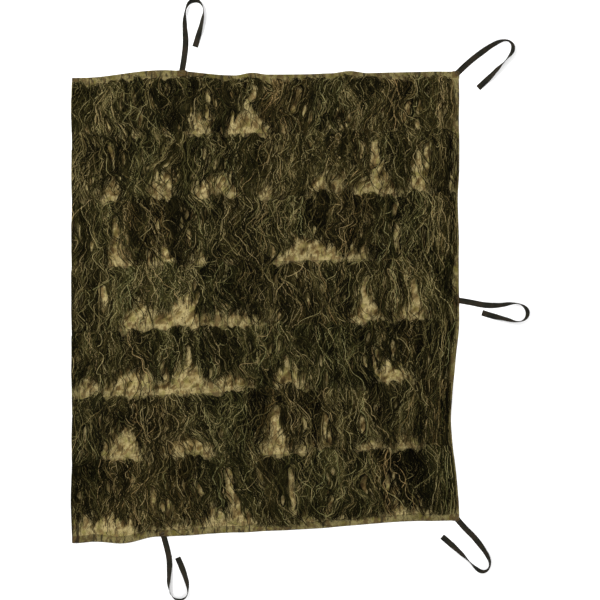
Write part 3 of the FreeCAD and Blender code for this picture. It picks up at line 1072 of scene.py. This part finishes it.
def row_partings(row):
    """The row's known partings, and smaller ones scattered along it."""
    rng = np.random.default_rng(700 + row)
    every = list(PARTINGS[row])
    for _ in range(26):
        centre = rng.uniform(-0.80, 0.77)
        seam = SEAMS[row](centre)
        pitch = seam - row_end(row)(centre)
        top = seam - rng.uniform(0.05, 0.75) * pitch
        every.append((centre, top, top - rng.uniform(0.04, 0.10), rng.uniform(0.004, 0.012)))
    return every


def parted(row, x, y, yields):
    """Strands pushed to either side of each parting, as far as each of them yields."""
    for centre, top, bottom, half in row_partings(row):
        away = x - centre - 0.25 * half * noise(y / 0.03, row, 98)
        window = smooth_step(np.minimum(top - y, y - bottom) / 0.03 + 0.4)
        middle = (away * window).sum(axis=1) / (window.sum(axis=1) + 1e-6)
        side = np.where(middle < 0, -1, 1)[:, None]
        gap = side * away
        push = half * np.exp(-np.maximum(gap, 0) / (1.8 * half)) + 0.8 * np.maximum(-gap, 0)
        x = x + side * yields[:, None] * window * push
    return x


def highest_crossed(x, y):
    """For each point of the strands, the highest cloth between it and its neighbours."""
    highest = cloth_height(x, y)
    for way in (0.33, 0.67):
        between = cloth_height(
            x[:, :-1] + way * np.diff(x, axis=1), y[:, :-1] + way * np.diff(y, axis=1))
        highest[:, :-1] = np.maximum(highest[:, :-1], between)
        highest[:, 1:] = np.maximum(highest[:, 1:], between)
    return highest


def curled(x, y, run, grown, curl, rng):
    """Strands wound into waves of two sizes, and how far that lifts each point."""
    count = len(x)
    lift = np.zeros_like(x)
    for wave_low, wave_high, width in CURLS:
        size = curl * np.clip(rng.gamma(3.0, width / 3, count), 0, 2 * width)[:, None] * grown
        wave = rng.uniform(wave_low, wave_high, count)[:, None]
        start, turned, heading = rng.uniform(0, 2 * np.pi, (3, count))
        turn = 2 * np.pi * run / wave + start[:, None]
        x = x + size * np.sin(turn + 0.5 * turned[:, None])
        y = y + size * np.cos(turn * (0.8 + 0.05 * heading[:, None]) + turned[:, None])
        lift = lift + 0.15 * size * np.sin(turn * 0.9 + heading[:, None])
    return x, y, lift


def strand_heights(x, y, shares, layer, lift):
    """How high each point lies: in its layer of the row, and clear of the cloth."""
    crest = np.interp(shares, CREST_SHARES, CREST_HEIGHTS)[None, :]
    relief = 0.72 + 0.28 * noise(x / 0.05, y / 0.07, 102)
    z = YARN_FLOOR + (crest * relief - YARN_FLOOR) * layer + lift
    clearance = STRAND_CLEARANCE * (1 + bareness(x, y)) + BEND_CLEARANCE * bending(x, y)
    z = np.maximum(z, highest_crossed(x, y) + clearance)
    return np.where(shares[None, :] < 0.02, ROOT_HEIGHT, np.clip(z, YARN_FLOOR - 0.0008, YARN_TOP))


def strand_dyes(row, root, x, y, shares, rank, pale_share, tufts, tuft, rng):
    """Each point's dye lot, and its fading with painted shade, both from 0 to 1."""
    count = len(root)
    seam = SEAMS[row](root)
    lot = noise(root / 0.13, seam / 0.21, 103)
    tone = 0.45 + 0.22 * lot + tufts["tone"][tuft] + rng.normal(0, 0.16, count)
    # Painted shade: strands lower in the pile are less often pale, and darker.
    pale = rng.uniform(0, 1, count) < pale_share * (0.5 + 0.8 * rank)
    fading_and_shade = np.where(pale, rng.normal(0.69, 0.15, count), rng.normal(0.22, 0.13, count))
    fading_and_shade = fading_and_shade + tufts["fading_and_shade"][tuft] + 0.14 * (rank - 0.45)
    fading_and_shade = fading_and_shade + 0.10 * noise(root / 0.06, seam / 0.11, 104)
    mottle = noise(x / 0.030, y / 0.048, 105) + 0.6 * noise(x / 0.07, y / 0.10, 106)
    # Painted shadow: each strand is darkened over its first few hundredths, at its root.
    fading_and_shade = fading_and_shade[:, None] + 0.14 * mottle - 0.10 * (1 - smooth_step(shares[None, :] / 0.07))
    tone = np.repeat(tone[:, None], len(shares), 1)
    return np.clip(tone, 0, 1), np.clip(fading_and_shade, 0, 1)


def strand_paths(row, count, shares, low_rank, high_rank, curl, pale_share, girth, seed):
    """The middle line, thickness, dye, and fading with painted shade of some of a row's strands."""
    rng = np.random.default_rng(seed)
    tufts = row_tufts(row)
    weight = tufts["weight"]
    tuft = rng.choice(len(weight), count, p=weight / weight.sum())
    offset = np.clip(rng.normal(0, 0.55, count), -1, 1)
    rank = rng.uniform(low_rank, high_rank, count)
    stray = rng.uniform(0, 1, count) < STRAY_SHARE
    centre = tufts["centre"][tuft]
    half = tufts["half"][tuft]
    root = centre + offset * half
    pitch = SEAMS[row](root) - row_end(row)(root)
    fall = pitch * tufts["reach"][tuft] * rng.uniform(0.78, 1.05, count)
    drift = tufts["lean"][tuft] + rng.normal(0, 0.14, count) + stray * rng.normal(0, 0.45, count)
    clearing = 0.1 if high_rank < 0.8 else 0.65
    fall = bared(row, root, drift, fall, clearing, rng)

    # Each strand turns over at its root and fans out as it falls.
    s = shares[None, :]
    down = np.clip(s - 0.05, 0, 1) / 0.95 * fall[:, None]
    lobe = tufts["lobe"][tuft] * (0.35 + 0.65 * rank) * (1 - 0.65 * offset**2)
    rise = np.sin(np.pi * np.clip(s / 0.14, 0, 1)) * lobe[:, None]
    fan = tufts["fan"][tuft][:, None]
    opened = 0.35 + 0.65 * smooth_step(s / 0.10) + (fan - 1) * smooth_step(s / 0.9)
    x = centre[:, None] + (offset * half)[:, None] * opened + drift[:, None] * down
    y = root_line(row, root)[:, None] + rise - down
    highest = TOP_EDGE(root)[:, None] - BELOW_TOP_EDGE + 0.006 * rng.uniform(-1, 1, count)[:, None]
    y = y - 0.8 * np.maximum(y - highest, 0)
    lowest = BOTTOM_EDGE(root)[:, None] + ABOVE_BOTTOM_EDGE
    lowest = lowest + 0.008 * rng.uniform(-1, 1, count)[:, None]

    # It swirls with its neighbours, curls on its own, and is parted.
    grown = smooth_step(s * 5.0 + 0.15)
    swirl = 0.026 * noise(x / 0.075, y / 0.085, 100)
    swirl = swirl + 0.014 * noise(x / 0.028, y / 0.040, 101)
    x, y, lift = curled(x + swirl * grown, y, s * pitch[:, None], grown, curl, rng)
    x = parted(row, x, y, 1.3 * rng.uniform(0, 1, count) ** 0.3)

    # It stays inside the hems.
    y = y + 0.85 * np.maximum(lowest - y, 0)
    margin = RIGHT_MARGIN + rng.normal(0, 0.026, count)[:, None]
    x = x - 1.3 * np.maximum(x - margin, 0)
    x = np.clip(x, -HALF_WIDTH + 0.002 * rank[:, None], HALF_WIDTH - 0.010)
    layer = np.where(stray, 0.97, rank)[:, None]
    z = strand_heights(x, y, shares, layer, lift)
    x, y = warp(x, y)
    radius = girth * rng.uniform(0.82, 1.18, count)
    tone, fading_and_shade = strand_dyes(row, root, x, y, shares, rank, pale_share, tufts, tuft, rng)
    return np.stack([x, y, z], axis=2), radius, tone, fading_and_shade


def strand_template(rings):
    """Triangles and bake coordinates of one three-sided closed strand."""
    faces, marks = [], []
    for ring in range(rings - 1):
        low, high = ring / (rings - 1), (ring + 1) / (rings - 1)
        for side in range(3):
            a, b = ring * 3 + side, ring * 3 + (side + 1) % 3
            u, w = side / 3, (side + 1) / 3
            faces += [(a, b, b + 3), (a, b + 3, a + 3)]
            marks += [((u, low), (w, low), (w, high)), ((u, low), (w, high), (u, high))]
    last = 3 * (rings - 1)
    faces += [(2, 1, 0), (last, last + 1, last + 2)]
    marks += [((0.9, 0), (0.5, 0.01), (0.1, 0)), ((0.1, 1), (0.5, 0.99), (0.9, 1))]
    return np.array(faces)[:, ::-1], np.array(marks, float)[:, ::-1]


def make_yarn(name, strands, shares, row):
    """One piece of yarn: each strand is a thin closed tube that tapers at its tip."""
    paths, radius, tone, fading_and_shade = strands
    count, rings, _ = paths.shape
    along = unit(np.gradient(paths, axis=1))
    side = unit(np.cross(along, (0, 0, 1)))
    over = np.cross(side, along)
    taper = np.interp(shares, [0, 0.05, 0.85, 1], [0.7, 1, 1, 0.35])
    girth = (radius[:, None] * taper[None, :])[:, :, None]
    corners = []
    for angle in (math.pi / 2, math.pi * 7 / 6, math.pi * 11 / 6):
        corners.append(paths + girth * (side * math.cos(angle) + over * math.sin(angle)))
    points = np.stack(corners, axis=2).reshape(-1, 3)
    faces, marks = strand_template(rings)
    every = (faces[None] + 3 * rings * np.arange(count)[:, None, None]).reshape(-1, 3)
    obj = make_mesh(name, points, every, YARN)
    cells = math.ceil(math.sqrt(count))
    cell = np.stack([np.arange(count) % cells, np.arange(count) // cells], axis=1)
    places = (cell[:, None, None, :] + 0.12 + 0.76 * marks[None]) / cells
    layer = obj.data.uv_layers.new(name="OFBake")
    layer.data.foreach_set("uv", places.astype(np.float32).ravel())
    store(obj, "tone", tone.ravel().repeat(3))
    store(obj, "fading_and_shade", fading_and_shade.ravel().repeat(3))
    place_piece(obj, [f"thread_row_{row}"], ROW_PLACES[row])


def strand_shares(steps):
    """Where a strand's points fall along it: a little closer where it turns over."""
    even = np.linspace(0, 1, steps)
    return 0.75 * even + 0.25 * even**2


def make_yarn_row(row):
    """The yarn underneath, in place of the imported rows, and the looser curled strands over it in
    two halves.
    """
    shares = strand_shares(UNDER_STEPS)
    # The under layer, low in the pile, has fewer pale strands: painted shade.
    under = strand_paths(
        row, UNDER_STRANDS, shares, low_rank=0.0, high_rank=0.6, curl=0.35, pale_share=0.12,
        girth=0.0017, seed=400 + row)
    make_yarn(f"yarn_row_{row}_under", under, shares, row)
    shares = strand_shares(OUTER_STEPS)
    outer = strand_paths(
        row, OUTER_STRANDS, shares, low_rank=0.25, high_rank=1.0, curl=1.0, pale_share=0.32,
        girth=0.00125, seed=500 + row)
    left = outer[0][:, 0, 0] < 0
    for side, chosen in (("left", left), ("right", ~left)):
        make_yarn(f"yarn_row_{row}_{side}", [values[chosen] for values in outer], shares, row)


# ---- the whole cover ----
make_stage()
for tie in TIE_ROUTES:
    make_tie(tie)
    make_tab(tie)
upper_sheet, lower_sheet = make_backing()
upper_hems, lower_hems = make_hems()
for row in ROWS:
    make_row_tape(row)
for number, patch in enumerate(PATCHES):
    make_patch(patch, number)
for tie in TIE_ROUTES:
    make_bartack(tie)
make_hem_stitches()
for row in ROWS:
    make_yarn_row(row)
